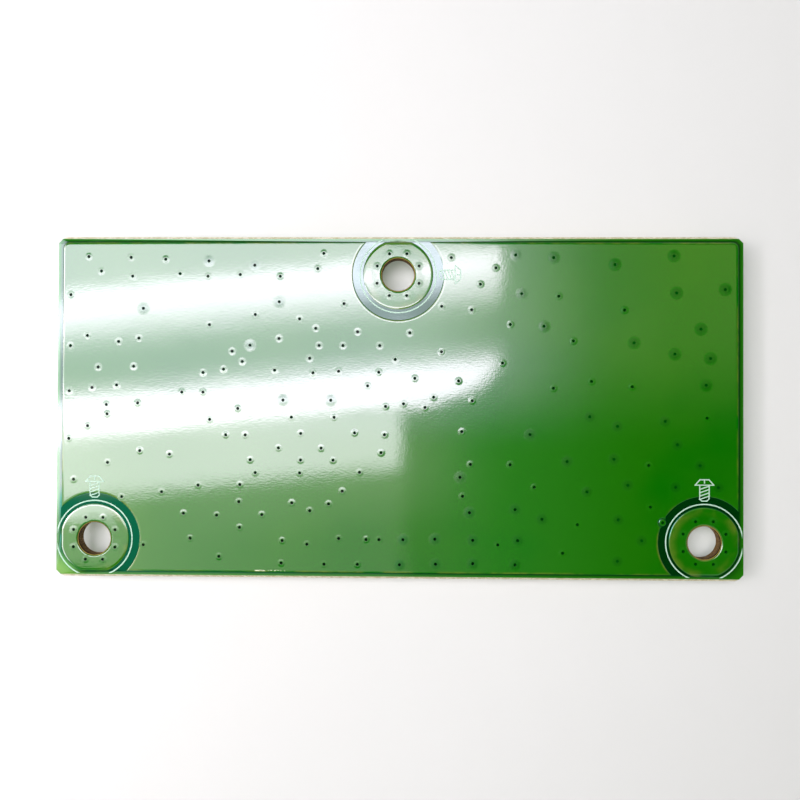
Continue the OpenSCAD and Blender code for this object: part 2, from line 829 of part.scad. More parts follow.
module chip_leads(chip) {
    color("silver")
        for (turn = [0 : 90 : 270]) {
            facing_x = turn % 180 == 0;
            ways = facing_x ? chip[4] : chip[3];
            edge = facing_x ? chip[0] / 2 : chip[1] / 2;
            if (ways > 0)
                rotate(turn)
                    for (i = [0 : ways - 1])
                        translate([edge, (i - (ways - 1) / 2) * chip[5], 0])
                            bent_lead(lead_w(chip), lead_line(chip[2]));
        }
}

// Power parts

module inductor_body(i) {
    h = inductor_h - sheet_t;
    half = inductor_w / 2;
    in = half - inductor_corner;
    color("darkslategray")
        on_front(inductors_at[i])
            translate([0, 0, sheet_t])
                linear_extrude(h)
                    polygon([
                        [-in, -half], [in, -half], [half, -in], [half, in],
                        [in, half], [-in, half], [-half, in], [-half, -in]
                    ]);
}

// Two terminals that wrap from under an inductor up its ends
module inductor_terminals(i) {
    end = inductor_w / 2;
    color("silver")
        on_front(inductors_at[i])
            for (s = [0, 1])
                mirror([s, 0, 0])
                    along_y(inductor_tab)
                        polygon([
                            [end - inductor_foot, 0], [end + sheet_t, 0], [end + sheet_t, inductor_tab_h],
                            [end, inductor_tab_h], [end, sheet_t], [end - inductor_foot, sheet_t]
                        ]);
}

module diode_body(i) {
    color("dimgray")
        on_front(diodes_at[i])
            translate([0, 0, chip_standoff])
                moulded_body(diode_size.x, diode_size.y, diode_h - chip_standoff);
}

module diode_terminals(i) {
    color("silver")
        on_front(diodes_at[i])
            for (turn = [0, 180])
                rotate(turn)
                    translate([diode_size.x / 2, 0, 0])
                        bent_lead(diode_tab, lead_line(diode_h));
}

// Small parts with an end cap at either end

module cap_bodies(size, places, shade) {
    color(shade)
        for (p = places)
            on_front(p)
                block([size.x * (1 - 2 * end_share), size.y, size.z]);
}

module cap_ends(size, places) {
    end = size.x * end_share;
    color("silver")
        for (p = places, s = [-1, 1])
            on_front(p)
                translate([s * (size.x - end) / 2, 0, 0])
                    block([end, size.y, size.z]);
}

laminate();
ground_copper();
screw_pads();
via_lands();
ground_side_mask();
via_rims();
printed_rings();
component_side_mask();
solder_pads();
input_socket_housing();
input_socket_shell();
input_socket_contacts();
output_socket_housing(-1);  // output_socket_1_housing
output_socket_contacts(-1);  // output_socket_1_contacts
output_socket_tabs(-1);  // output_socket_1_tabs
output_socket_housing(1);  // output_socket_2_housing
output_socket_contacts(1);  // output_socket_2_contacts
output_socket_tabs(1);  // output_socket_2_tabs
on_front(timing_at) chip_body(timing);  // timing_chip_body
on_front(timing_at) chip_leads(timing);  // timing_chip_leads
on_front(power_at) chip_body(power);  // power_chip_body
on_front(power_at) chip_leads(power);  // power_chip_leads
on_front(shifter_at) chip_body(shifter);  // level_shifter_body
on_front(shifter_at) chip_leads(shifter);  // level_shifter_leads
on_front(gamma_at) chip_body(gamma);  // gamma_chip_body
on_front(gamma_at) chip_leads(gamma);  // gamma_chip_leads
on_front(memory_at) chip_body(memory);  // memory_chip_body
on_front(memory_at) chip_leads(memory);  // memory_chip_leads
inductor_body(0);  // inductor_1_body
inductor_terminals(0);  // inductor_1_terminals
inductor_body(1);  // inductor_2_body
inductor_terminals(1);  // inductor_2_terminals
inductor_body(2);  // inductor_3_body
inductor_terminals(2);  // inductor_3_terminals
diode_body(0);  // diode_1_body
diode_terminals(0);  // diode_1_terminals
diode_body(1);  // diode_2_body
diode_terminals(1);  // diode_2_terminals
cap_bodies(fuse, [fuse_at], "white");  // fuse_body
cap_ends(fuse, [fuse_at]);  // fuse_ends
cap_bodies(bulk_cap, bulk_caps_at, "burlywood");  // bulk_capacitor_bodies
cap_ends(bulk_cap, bulk_caps_at);  // bulk_capacitor_ends
cap_bodies(small_cap, small_caps_at, "burlywood");  // small_capacitor_bodies
cap_ends(small_cap, small_caps_at);  // small_capacitor_ends
cap_bodies(resistor, resistors_at, "black");  // resistor_bodies
cap_ends(resistor, resistors_at);  // resistor_ends
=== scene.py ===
"""Looks of a t-con board that lies with its component side down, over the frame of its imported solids."""
import json
import math

import bmesh
import bpy
import numpy as np
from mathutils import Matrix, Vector
from mathutils.geometry import delaunay_2d_cdt

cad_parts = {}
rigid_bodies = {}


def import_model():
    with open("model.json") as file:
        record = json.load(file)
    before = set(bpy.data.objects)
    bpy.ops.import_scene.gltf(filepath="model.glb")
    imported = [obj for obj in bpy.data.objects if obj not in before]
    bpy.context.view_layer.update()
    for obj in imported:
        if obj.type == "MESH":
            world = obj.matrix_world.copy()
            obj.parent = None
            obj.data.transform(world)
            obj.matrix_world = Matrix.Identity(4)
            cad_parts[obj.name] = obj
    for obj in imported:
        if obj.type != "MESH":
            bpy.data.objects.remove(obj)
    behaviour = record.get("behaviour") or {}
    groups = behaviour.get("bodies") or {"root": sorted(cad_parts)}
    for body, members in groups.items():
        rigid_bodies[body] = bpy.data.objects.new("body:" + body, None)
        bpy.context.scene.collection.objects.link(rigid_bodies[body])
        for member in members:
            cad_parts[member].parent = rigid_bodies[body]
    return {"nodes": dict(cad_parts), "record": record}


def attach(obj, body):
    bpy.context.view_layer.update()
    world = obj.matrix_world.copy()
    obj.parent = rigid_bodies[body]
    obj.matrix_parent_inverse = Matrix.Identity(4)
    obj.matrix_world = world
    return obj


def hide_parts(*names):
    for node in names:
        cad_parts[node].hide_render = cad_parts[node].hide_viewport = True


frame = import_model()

bl_info = {
    "name": "T-con board looks",
    "version": (1, 0, 0),
    "blender": (4, 5, 0),
    "location": "View3D > Sidebar > Board",
    "description": "Dresses the solids of a t-con board with lacquer, vias, print, metal and plastic",
    "category": "Object",
}

# Lengths in this script are in millimetres, and become metres when a mesh is made
MM = 0.001
# Wear: a scuffed stretch of the lower copper edge with fading ends. Painted light: a yellow-green glow over
# the lower left corner, for light that comes through the board there
SCUFF_X = (-16.7, -12.9)
SCUFF_Y = -19.1
SCUFF_FADE = 0.3
SCUFF_LINE = (0.09, 0.03)
CORNER_GLOW_CENTRE = (-40.0, -20.0, 3.8)
CORNER_GLOW_REACH = (3.8, 1.0)
# Fall of the lacquer on a screw pad, in mm, at one mm from the middle of its hole
PAD_CROWN = 0.004
# Dull residue and olive halo round a screw hole: distances where each sets in and where it ends
FILM_BELT = (2.1, 2.3), (3.3, 3.0)
FILM_DULLNESS = 0.08
PAD_HALO = (2.9, 3.9), (4.1, 4.0)
# Colours of the lacquer by what lies under it, of painted light near the board's edge and at its lower left
# corner, and of the via mouths, the open ones painted near-black as painted shade
OVER_COPPER = (0.0, 0.114, 0.0), (0.009, 0.128, 0.001)
OVER_LAMINATE = (0.0, 0.026, 0.002)
THIN_OLIVE = (0.15, 0.18, 0.02)
# Painted light: a brighter green near the board's edge
EDGE_GLOW_GREEN = (0.02, 0.20, 0.003)
# Painted light: yellow-green glow of the lower left corner
CORNER_GLOW_GREEN = (0.11, 0.27, 0.03)
SCUFF_PALE = (0.62, 0.66, 0.44)
# Painted shade: near-black inside of the open vias
OPEN_MOUTH_SHADE = (0.0, 0.006, 0.001)
MOUTH_SIGNAL = (0.0, 0.125, 0.003)
MOUTH_GROUND = (0.0, 0.028, 0.001)
# Tints of what the lacquer mirrors
CLEAR_TINT = (1.0, 1.0, 1.0)
EDGE_TINT = (0.78, 1.0, 0.85)
BARE_TINTS = (0.03, 1.0, 0.80), (0.82, 1.0, 0.96)
# Stretch of Y where the lacquer over laminate turns from dull to shiny, and of X where lacquer fills the vias
SHINY_Y = (-11.5, -9.0)
FILLED_X = (6.0, 26.0)
# Share of copper that shows beside a signal via, and the seed of the mounds' heights
HALO_SHARE = 0.72
RIM_SEED = 7
# Room card, by the places of the board that mirror it: its corners and the size of its squares
ROOM_LOW, ROOM_HIGH, ROOM_STEP = (-64.0, -33.0), (62.0, 33.0), 0.6
# Square lamp under the board: side and depth in metres, and power in watts
LAMP_SIDE, LAMP_DEPTH, LAMP_POWER = 0.26, 0.12, 0.3
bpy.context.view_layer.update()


# Settings

def setting(name, description, default):
    """Number that can be set in the panel, whole if its default is written so."""
    kind = bpy.props.IntProperty if isinstance(default, int) else bpy.props.FloatProperty
    return kind(name=name, description=description, default=default)


class LacquerSettings(bpy.types.PropertyGroup):
    """Form of the lacquer sheet over the copper of the ground side."""
    slope: setting("Slope width", "How far the lacquer takes to come down beside copper, in mm", 0.1)
    thin_width: setting("Thin edge", "Width of the thin olive lacquer on a copper edge, in mm", 0.2)
    lean: setting("Lean", "Fall of the lacquer over the thin edge, in mm per mm", 0.05)
    edge_drop: setting("Edge drop", "How far the lacquer falls to the board's edge, in mm", 0.02)
    sag: setting("Sag", "How far the lacquer of a clear field has sagged towards -Y, in mm", 0.02)
    opening_gap: setting("Hole rim", "Bare ring between a screw hole and the lacquer, in mm", 0.1)
    rim_reach: setting("Rim reach", "Radius of the lacquer mound round a ground via, in mm", 0.52)
    rim_share: setting("Rim height", "Height of the tallest mound, as a share of the solid rim", 0.55)
    lowest_rim: setting("Lowest rim", "Height of the lowest mound, as a share of the tallest", 0.3)
    halo_reach: setting("Halo reach", "Radius of the dark halo round a signal via, in mm", 0.78)
    corner_radius: setting("Copper corner", "Corner radius of the ground copper, in mm", 0.6)
    arc_points: setting("Arc points", "Points round a screw pad or its clear field", 288)
    via_points: setting("Via points", "Points round a via, its land and its gap", 24)


class PrintSettings(bpy.types.PropertyGroup):
    """Sizes of the printed screw signs."""
    line: setting("Line", "Width of a printed line, in mm", 0.12)
    thickness: setting("Thickness", "Thickness of the ink, in mm", 0.02)
    tip_gap: setting("Tip distance", "From the middle of the hole to the tip of the sign, in mm", 4.83)
    shaft_length: setting("Shaft", "Length of the drawn shaft, in mm", 1.84)
    shaft_width: setting("Shaft width", "Width of the shaft, in mm", 1.08)
    head_width: setting("Head", "Width of the drawn head, in mm", 2.14)
    head_top: setting("Head top", "Width of the head's flat top, in mm", 1.04)
    head_height: setting("Head height", "Height of the head, in mm", 0.62)
    hatches: setting("Thread lines", "Slanted lines across the shaft", 4)


class StageSettings(bpy.types.PropertyGroup):
    """Camera, floor and the bright room that the lacquer mirrors."""
    lens: setting("Lens", "Focal length on a 36 mm sensor", 29.25)
    camera: bpy.props.FloatVectorProperty(
        name="Camera", description="Place of the camera, in mm", size=3, default=(1.537, 0.205, 79.571))
    tilt: bpy.props.FloatVectorProperty(
        name="Tilt", description="Turn of the camera about X, Y and Z, in degrees", size=3,
        default=(0.502, 0.946, 0.245))
    room_height: setting("Room height", "Height of the bright room card over the board, in mm", 240.0)
    floor_size: setting("Floor", "Side of the floor, in mm", 4000.0)


# Measures taken from the solids

def node_points(name):
    """Vertices of a solid, in mm."""
    mesh = frame["nodes"][name].data
    flat = np.empty(len(mesh.vertices) * 3)
    mesh.vertices.foreach_get("co", flat)
    return flat.reshape(-1, 3) / MM


def island_centres(name):
    """Middle of each separate solid of a node, seen from above, in mm."""
    work = bmesh.new()
    work.from_mesh(frame["nodes"][name].data)
    bmesh.ops.remove_doubles(work, verts=work.verts, dist=MM * 0.001)
    seen = set()
    centres = []
    for start in work.verts:
        if start in seen:
            continue
        island = []
        todo = [start]
        seen.add(start)
        while todo:
            vert = todo.pop()
            island.append(vert.co)
            for edge in vert.link_edges:
                other = edge.other_vert(vert)
                if other not in seen:
                    seen.add(other)
                    todo.append(other)
        low = Vector([min(co[i] for co in island) for i in range(2)])
        high = Vector([max(co[i] for co in island) for i in range(2)])
        centres.append((low + high) / 2 / MM)
    work.free()
    return centres


def nearest(points, place):
    """Distance in plan from a place to the nearest of some points."""
    return float(np.min(np.hypot(points[:, 0] - place[0], points[:, 1] - place[1])))


class Measures:
    """Sizes of the bare board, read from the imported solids, in mm."""

    def __init__(self):
        layers = ("ground_copper", "ground_side_mask", "screw_pads", "via_rims", "via_lands")
        copper, mask, pads, rims, lands = map(node_points, layers)
        bores = [m for m in frame["record"]["mounts"] if m["kind"] == "bore"]
        self.holes = [Vector(m["pos_m"][:2]) / MM for m in bores]
        self.hole_radius = bores[0]["dims"]["r_mm"]
        self.back = float(node_points("laminate")[:, 2].max())
        self.low = float(node_points("printed_rings")[:, 2].min())
        self.high = float(mask[:, 2].max())
        self.rim_height = float(rims[:, 2].max()) - self.high
        self.half = mask[:, :2].max(axis=0)
        self.cut_x = float(mask[mask[:, 1] > self.half[1] - 0.001, 0].max())
        self.cut_y = float(mask[mask[:, 0] > self.half[0] - 0.001, 1].max())
        self.pour = copper[:, :2].max(axis=0)
        self.clear_radius = nearest(copper, self.holes[0])
        top_pad = pads[pads[:, 1] > 0]
        self.pad_radius = float(top_pad[:, 0].max() - self.holes[0].x)
        self.vias = island_centres("via_rims")
        self.signal_vias = island_centres("via_lands")
        first = self.signal_vias[0]
        near_first = lands[np.hypot(lands[:, 0] - first.x, lands[:, 1] - first.y) < self.clear_radius / 5]
        self.land_radius = float(np.max(near_first[:, 0]) - first.x)
        self.gap_radius = nearest(copper, first)
        self.via_radius = nearest(rims, first)
        reach = self.clear_radius + self.gap_radius
        self.open_vias = [v for v in self.signal_vias if any((v - h).length < reach for h in self.holes)]

    def kind(self, via):
        """0 for a ground via, 1 for a signal via, 2 for a signal via whose gap opens into a clear field."""
        if any((via - other).length < self.land_radius for other in self.open_vias):
            return 2
        return int(any((via - other).length < self.land_radius for other in self.signal_vias))


# Mesh helpers

def smooth(low, high, value):
    """Smooth step from 0 at low to 1 at high."""
    t = min(max((value - low) / (high - low), 0.0), 1.0)
    return t * t * (3 - 2 * t)


def polar(centre, radius, angle):
    """Place at a distance and an angle from a centre."""
    return centre[0] + radius * math.cos(angle), centre[1] + radius * math.sin(angle)


def ring(centre, radius, count):
    """Points of a circle, in mm."""
    return [polar(centre, radius, 2 * math.pi * i / count) for i in range(count)]


def turns(start, end, count):
    """Angles from one to another, ends included."""
    return [start + (end - start) * i / (count - 1) for i in range(count)]


# What lies under the lacquer at a point: share of copper, share of thin lacquer, share of light from the edge,
# and 0 inside a via or 1 elsewhere
COPPER, BARE, EDGE = (1.0, 0.0, 0.0, 1.0), (0.0, 0.0, 0.0, 1.0), (0.0, 0.0, 1.0, 1.0)


def add_object(name, data):
    """New object in the scene."""
    made = bpy.data.objects.new(name, data)
    bpy.context.scene.collection.objects.link(made)
    return made


class SheetBuilder:
    """Collects loops of points at given heights, the strips between them and the flats that they bound."""

    def __init__(self):
        self.verts, self.lay, self.faces, self.smooth = [], [], [], []

    def loop(self, points, height, lay):
        first = len(self.verts)
        self.verts += [(x * MM, y * MM, height * MM) for x, y in points]
        self.lay += [lay] * len(points)
        return list(range(first, len(self.verts)))

    def strip(self, outer, inner, smooth=True):
        """Quads between two loops of the same count. Both run counter-clockwise, and outer encloses inner."""
        count = len(outer)
        for i in range(count):
            j = (i + 1) % count
            self.faces.append((outer[i], outer[j], inner[j], inner[i]))
            self.smooth.append(smooth)

    def flat(self, border, holes):
        """Fills the flat between a border loop and the loops inside it."""
        loops = [border] + holes
        index = [i for one in loops for i in one]
        owner = [number for number, one in enumerate(loops) for _ in one]
        points = [Vector(self.verts[i][:2]) / MM for i in index]
        edges = []
        start = 0
        for one in loops:
            edges += [(start + i, start + (i + 1) % len(one)) for i in range(len(one))]
            start += len(one)
        places, _, faces, origin, _, _ = delaunay_2d_cdt(points, edges, [], 1, 1e-6)
        for face in faces:
            corners = [origin[v][0] for v in face]
            owners = {owner[c] for c in corners}
            middle = sum((places[v] for v in face), Vector((0, 0))) / len(face)
            if len(owners) == 1 and 0 not in owners and self.encloses(loops[owners.pop()], middle):
                continue
            self.faces.append(tuple(index[c] for c in corners))
            self.smooth.append(False)

    def encloses(self, loop, place):
        """Whether a loop runs round a place, seen from above."""
        inside = False
        corners = [(self.verts[i][0] / MM, self.verts[i][1] / MM) for i in loop]
        for (ax, ay), (bx, by) in zip(corners, corners[1:] + corners[:1]):
            if (ay > place.y) != (by > place.y) and place.x < ax + (place.y - ay) / (by - ay) * (bx - ax):
                inside = not inside
        return inside

    def tilt(self, loop, hole, reach, drop):
        """Raises the points of a loop round a hole by a height that follows their direction from it."""
        for i in loop:
            x, y, z = self.verts[i]
            away = Vector((x, y)) / MM - hole
            if away.length < reach:
                self.verts[i] = (x, y, z + drop * MM * away.y / away.length)

    def clean(self, loop, place, reach):
        """Evens out what lies under a loop near a place, where the lacquer hides a narrow gap."""
        for i in loop:
            if (Vector(self.verts[i][:2]) / MM - place).length < reach:
                self.lay[i] = (max(self.lay[i][0], 0.6), 0.0, *self.lay[i][2:])

    def wall(self, loop, height, inward):
        """Closes the sheet down to a lower height along a loop."""
        base = self.loop([(self.verts[i][0] / MM, self.verts[i][1] / MM) for i in loop], height, BARE)
        if inward:
            self.strip(loop, base, False)
        else:
            self.strip(base, loop, False)

    def mesh(self, name):
        """Mesh of what was collected, with what lies under the lacquer as a point colour."""
        mesh = bpy.data.meshes.new(name)
        mesh.from_pydata(self.verts, [], self.faces)
        mesh.polygons.foreach_set("use_smooth", self.smooth)
        layer = mesh.attributes.new("lay", "FLOAT_COLOR", "POINT")
        layer.data.foreach_set("color", [value for point in self.lay for value in point])
        mesh.update()
        return mesh


def finish_piece(piece, slot, material, *nodes):
    """Gives a piece its material, its place on the board and the nodes that it stands for."""
    piece.data.materials.clear()
    piece.data.materials.append(material)
    if nodes:
        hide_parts(*nodes)
    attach(piece, "root")


def dress(material, *names):
    """Puts a material on CAD nodes whose shape is right."""
    for name in names:
        node = frame["nodes"][name]
        if not node.material_slots:
            node.data.materials.append(material)
        for slot in node.material_slots:
            slot.material = material


# Material helpers

class Graph:
    """A short way to build a node tree."""

    def __init__(self, tree):
        self.tree = tree
        tree.nodes.clear()

    def add(self, kind, inputs=None, **settings):
        node = self.tree.nodes.new(kind)
        for key, value in settings.items():
            setattr(node, key, value)
        for key, value in (inputs or {}).items():
            self.set(node, key, value)
        return node

    def set(self, node, key, value):
        socket = node.inputs[key]
        if isinstance(value, bpy.types.NodeSocket):
            self.tree.links.new(value, socket)
        else:
            socket.default_value = value

    def math(self, operation, a, b=0.0):
        return self.add("ShaderNodeMath", {0: a, 1: b}, operation=operation).outputs[0]

    def times(self, a, b):
        return self.math("MULTIPLY", a, b)

    def axis(self, place, name):
        """One coordinate of a place."""
        return self.add("ShaderNodeSeparateXYZ", {"Vector": place}).outputs[name]

    def vector(self, operation, a, b=(0.0, 0.0, 0.0)):
        """Vector math, whose result is a number for a length or a distance."""
        node = self.add("ShaderNodeVectorMath", {0: a, 1: b}, operation=operation)
        return node.outputs["Value" if operation in ("LENGTH", "DISTANCE") else "Vector"]

    def band(self, value, rise, fall):
        """1 between a rise and a fall, each from its start to its end, and 0 outside."""
        return self.times(self.range(value, *rise), self.range(value, *fall))

    def socket(self, way, name, kind):
        """New input or output of a node group."""
        return self.tree.interface.new_socket(name, in_out=way, socket_type=f"NodeSocket{kind}")

    def range(self, value, low, high, out_low=0.0, out_high=1.0, smooth=True):
        kind = "SMOOTHSTEP" if smooth else "LINEAR"
        sockets = {"Value": value, "From Min": low, "From Max": high, "To Min": out_low, "To Max": out_high}
        return self.add("ShaderNodeMapRange", sockets, interpolation_type=kind).outputs[0]

    def mix(self, share, a, b):
        """Mixture of two colours, each a socket or red, green and blue."""
        node = self.add("ShaderNodeMix", {"Factor": share}, data_type="RGBA")
        for key, colour in ((6, a), (7, b)):
            self.set(node, key, colour if isinstance(colour, bpy.types.NodeSocket) else (*colour, 1.0))
        return node.outputs[2]

    def place(self, scale=(1.0, 1.0, 1.0)):
        """Object coordinates in mm, stretched."""
        where = self.add("ShaderNodeTexCoord").outputs["Object"]
        per_mm = tuple(s / MM for s in scale)
        return self.add("ShaderNodeMapping", {"Vector": where, "Scale": per_mm}).outputs[0]

    def noise(self, place, scale, detail=2.0, roughness=0.5):
        sockets = {"Vector": place, "Scale": scale, "Detail": detail, "Roughness": roughness}
        return self.add("ShaderNodeTexNoise", sockets).outputs["Fac"]

    def bump(self, height, distance, normal=None):
        node = self.add("ShaderNodeBump", {"Height": height, "Distance": distance * MM, "Strength": 1.0})
        if normal is not None:
            self.set(node, "Normal", normal)
        return node.outputs[0]


def new_material(name, kind="ShaderNodeBsdfPrincipled"):
    """New material with its node tree and its one shader."""
    material = bpy.data.materials.new(name)
    material.use_nodes = True
    graph = Graph(material.node_tree)
    shader = graph.add(kind)
    graph.add("ShaderNodeOutputMaterial", {0: shader.outputs[0]})
    return material, graph, shader


def grain_group():
    """Shared node group: fine moulded grain as a normal and a blotch mask."""
    if "fine_grain" in bpy.data.node_groups:
        return bpy.data.node_groups["fine_grain"]
    tree = bpy.data.node_groups.new("fine_grain", "ShaderNodeTree")
    graph = Graph(tree)
    graph.socket("INPUT", "Grain size", "Float")
    graph.socket("INPUT", "Depth", "Float")
    graph.socket("OUTPUT", "Normal", "Vector")
    graph.socket("OUTPUT", "Blotch", "Float")
    enter = graph.add("NodeGroupInput")
    leave = graph.add("NodeGroupOutput")
    place = graph.place()
    fine = graph.noise(place, enter.outputs["Grain size"], 3.0, 0.6)
    bump = graph.add("ShaderNodeBump", {"Height": fine, "Distance": enter.outputs["Depth"], "Strength": 1.0})
    blotch = graph.noise(place, 0.7, 3.0, 0.55)
    graph.set(leave, "Normal", bump.outputs[0])
    graph.set(leave, "Blotch", blotch)
    return tree


def add_grain(graph, size, depth):
    """Adds the shared grain group to a material and returns its normal and its blotch mask."""
    node = graph.add("ShaderNodeGroup", node_tree=grain_group())
    graph.set(node, "Grain size", size)
    graph.set(node, "Depth", depth * MM)
    return node.outputs["Normal"], node.outputs["Blotch"]


def hole_distance(graph, place, holes):
    """Distance in plan from the nearest screw hole, in mm."""
    nearest_hole = None
    for hole in holes:
        gap = graph.vector("SUBTRACT", place, (hole.x, hole.y, 0.0))
        distance = graph.vector("LENGTH", graph.vector("MULTIPLY", gap, (1.0, 1.0, 0.0)))
        nearest_hole = distance if nearest_hole is None else graph.math("MINIMUM", nearest_hole, distance)
    return nearest_hole


def scuff_mask(graph, place):
    """Share of the short pale scuff along the lower copper edge, left of the middle."""
    start, end = SCUFF_X
    along = graph.band(graph.axis(place, "X"), (start, start + SCUFF_FADE), (end, end - SCUFF_FADE))
    off = graph.math("ABSOLUTE", graph.math("SUBTRACT", graph.axis(place, "Y"), SCUFF_Y))
    line = graph.times(along, graph.range(off, *SCUFF_LINE))
    broken = graph.range(graph.noise(place, 1.6, 1.0), 0.45, 0.55)
    return graph.times(line, broken)


def lacquer_material(name, roughness, measures=None, rims=False):
    """Green solder mask. With measures it follows what lies under it, and rims are duller on filled vias."""
    material, graph, shader = new_material(name)
    place = graph.place()
    cloud = graph.noise(place, 0.06, 3.0)
    copper_green = graph.mix(graph.range(cloud, 0.35, 0.65), *OVER_COPPER)
    # Cloth of the laminate shows through the lacquer as faint threads along X and along Y
    threads_x = graph.noise(graph.place((2.2, 5.4, 1.0)), 1.0, 2.0, 0.6)
    threads_y = graph.noise(graph.place((5.0, 2.0, 1.0)), 1.0, 2.0, 0.6)
    swell = graph.noise(place, 0.3)
    weave = graph.math("ADD", threads_x, graph.times(threads_y, 0.6))
    normal = graph.bump(swell, 0.006, graph.bump(weave, 0.0021))
    dullness = graph.range(cloud, 0.3, 0.7, roughness * 0.8, roughness * 1.2)
    graph.set(shader, "IOR", 1.8)
    if measures is not None:
        # The lacquer of a screw pad is a little crowned
        from_hole = hole_distance(graph, place, measures.holes)
        reach = graph.math("MINIMUM", from_hole, measures.pad_radius)
        normal = graph.bump(graph.times(reach, reach), -PAD_CROWN, normal)
        # Patches of dull residue among the stitching vias of the pads
        spots = graph.range(graph.noise(place, 0.7, 1.0), 0.47, 0.53)
        film = graph.times(graph.band(from_hole, *FILM_BELT), spots)
        dullness = graph.math("ADD", dullness, graph.times(film, FILM_DULLNESS))
        copper_green = lay_colours(graph, shader, place, from_hole, copper_green, rims)
    graph.set(shader, "Roughness", dullness)
    graph.set(shader, "Normal", normal)
    graph.set(shader, "Base Color", copper_green)
    return material


def lay_colours(graph, shader, place, from_hole, copper_green, rims):
    """Sets the gloss of the lacquer by what lies under it, and returns its colour: lighter over copper, olive
    where it is thin, deep green and duller over bare laminate, with painted light near the board's edge and at
    its lower left corner, and painted shade inside the open vias."""
    lay = graph.add("ShaderNodeAttribute", attribute_name="lay")
    parts = graph.add("ShaderNodeSeparateColor", {"Color": lay.outputs["Color"]})
    copper, thin, edge = parts.outputs
    solid = lay.outputs["Alpha"]
    colour = graph.mix(copper, OVER_LAMINATE, copper_green)
    patches = graph.range(graph.noise(place, 0.35, 2.0, 0.6), 0.38, 0.68, 0.0, 0.55)
    halo = graph.times(graph.band(from_hole, *PAD_HALO), 0.8)
    olive = graph.math("MAXIMUM", thin, halo)
    colour = graph.mix(graph.times(olive, patches), colour, THIN_OLIVE)
    # Painted light: a brighter green near the board's edge, for light that comes in through the edge
    colour = graph.mix(graph.times(edge, 0.75), colour, EDGE_GLOW_GREEN)
    # Painted light: a yellow-green glow over bare laminate at the lower left corner, for light that comes
    # through the board there
    gap = graph.vector("DISTANCE", place, CORNER_GLOW_CENTRE)
    corner_glow = graph.times(graph.range(gap, *CORNER_GLOW_REACH), graph.math("SUBTRACT", 1.0, copper))
    colour = graph.mix(corner_glow, colour, CORNER_GLOW_GREEN)
    colour = graph.mix(scuff_mask(graph, place), colour, SCUFF_PALE)
    # Lacquer fills the vias to the right, painted a darker green inside than the lacquer round them; the
    # others are open, their insides painted near-black as painted shade
    filled = graph.range(graph.axis(place, "X"), *FILLED_X)
    mouth = graph.mix(filled, OPEN_MOUTH_SHADE, graph.mix(copper, MOUTH_SIGNAL, MOUTH_GROUND))
    # Over bare laminate it is duller towards the lower edge
    shiny = graph.range(graph.axis(place, "Y"), *SHINY_Y)
    clear = graph.math("MAXIMUM", copper, edge)
    tint = graph.mix(clear, graph.mix(shiny, *BARE_TINTS), CLEAR_TINT)
    graph.set(shader, "Specular Tint", graph.mix(edge, tint, EDGE_TINT))
    bare_gloss = graph.range(shiny, 0.0, 1.0, 0.3, 0.46, False)
    gloss = graph.range(clear, 0.0, 1.0, bare_gloss, 0.5, False)
    if rims:
        gloss = graph.times(gloss, graph.range(filled, 0.0, 1.0, 1.0, 0.5, False))
    graph.set(shader, "Specular IOR Level", graph.times(gloss, solid))
    return graph.mix(solid, mouth, colour)


def laminate_material(measures):
    """Bare laminate: cream fibre edge, brown in the drilled holes with painted shade near-black at their top,
    olive on the rim round them.
    """
    material, graph, shader = new_material("laminate_edge")
    place = graph.place()
    fibres = graph.noise(graph.place((1.2, 6.0, 14.0)), 1.0, 3.0, 0.6)
    dashes = graph.noise(graph.place((2.0, 1.6, 1.2)), 1.0, 3.0, 0.7)
    cream = graph.mix(fibres, (0.52, 0.50, 0.30), (0.80, 0.77, 0.60))
    edge = graph.mix(graph.range(dashes, 0.42, 0.62), (0.48, 0.45, 0.26), cream)
    nearest_hole = hole_distance(graph, place, measures.holes)
    drilled = graph.mix(graph.range(fibres, 0.35, 0.7), (0.03, 0.011, 0.002), (0.32, 0.20, 0.07))
    in_hole = graph.range(nearest_hole, measures.hole_radius + 0.25, measures.hole_radius + 0.2)
    # Painted shade: the top of each drilled wall and the thin ring at the hole's edge are painted near-black,
    # fading out from 0.1 to 0.3 mm down
    depth = graph.math("SUBTRACT", measures.back, graph.axis(place, "Z"))
    drilled = graph.mix(graph.range(depth, 0.3, 0.1), drilled, (0.006, 0.003, 0.001))
    rim = graph.range(nearest_hole, measures.hole_radius + 0.01, measures.hole_radius + 0.04)
    drilled = graph.mix(rim, drilled, (0.26, 0.18, 0.03))
    graph.set(shader, "Base Color", graph.mix(in_hole, edge, drilled))
    graph.set(shader, "Specular IOR Level", 0.15)
    graph.set(shader, "Normal", graph.bump(fibres, 0.03))
    graph.set(shader, "Roughness", 0.75)
    return material


def plain_material(name, dark, light, roughness, grain, depth, metallic=0.0, gloss=0.5):
    """Plastic, ceramic or metal with a fine grain and a slow drift of colour."""
    material, graph, shader = new_material(name)
    normal, blotch = add_grain(graph, grain, depth)
    graph.set(shader, "Base Color", graph.mix(blotch, dark, light))
    graph.set(shader, "Normal", normal)
    graph.set(shader, "Roughness", graph.range(blotch, 0.3, 0.7, roughness * 0.85, roughness * 1.15))
    graph.set(shader, "Metallic", metallic)
    graph.set(shader, "Specular IOR Level", gloss)
    return material


# Pieces

def board_outline(m):
    """Edge of the lacquer: a rectangle with its corners cut."""
    hx, hy = m.half
    return [(-m.cut_x, -hy), (m.cut_x, -hy), (hx, -m.cut_y), (hx, m.cut_y),
            (m.cut_x, hy), (-m.cut_x, hy), (-hx, m.cut_y), (-hx, -m.cut_y)]


def arc(centre, radius, start, end, count):
    """Points from one angle to another, ends included."""
    return [polar(centre, radius, a) for a in turns(start, end, count)]


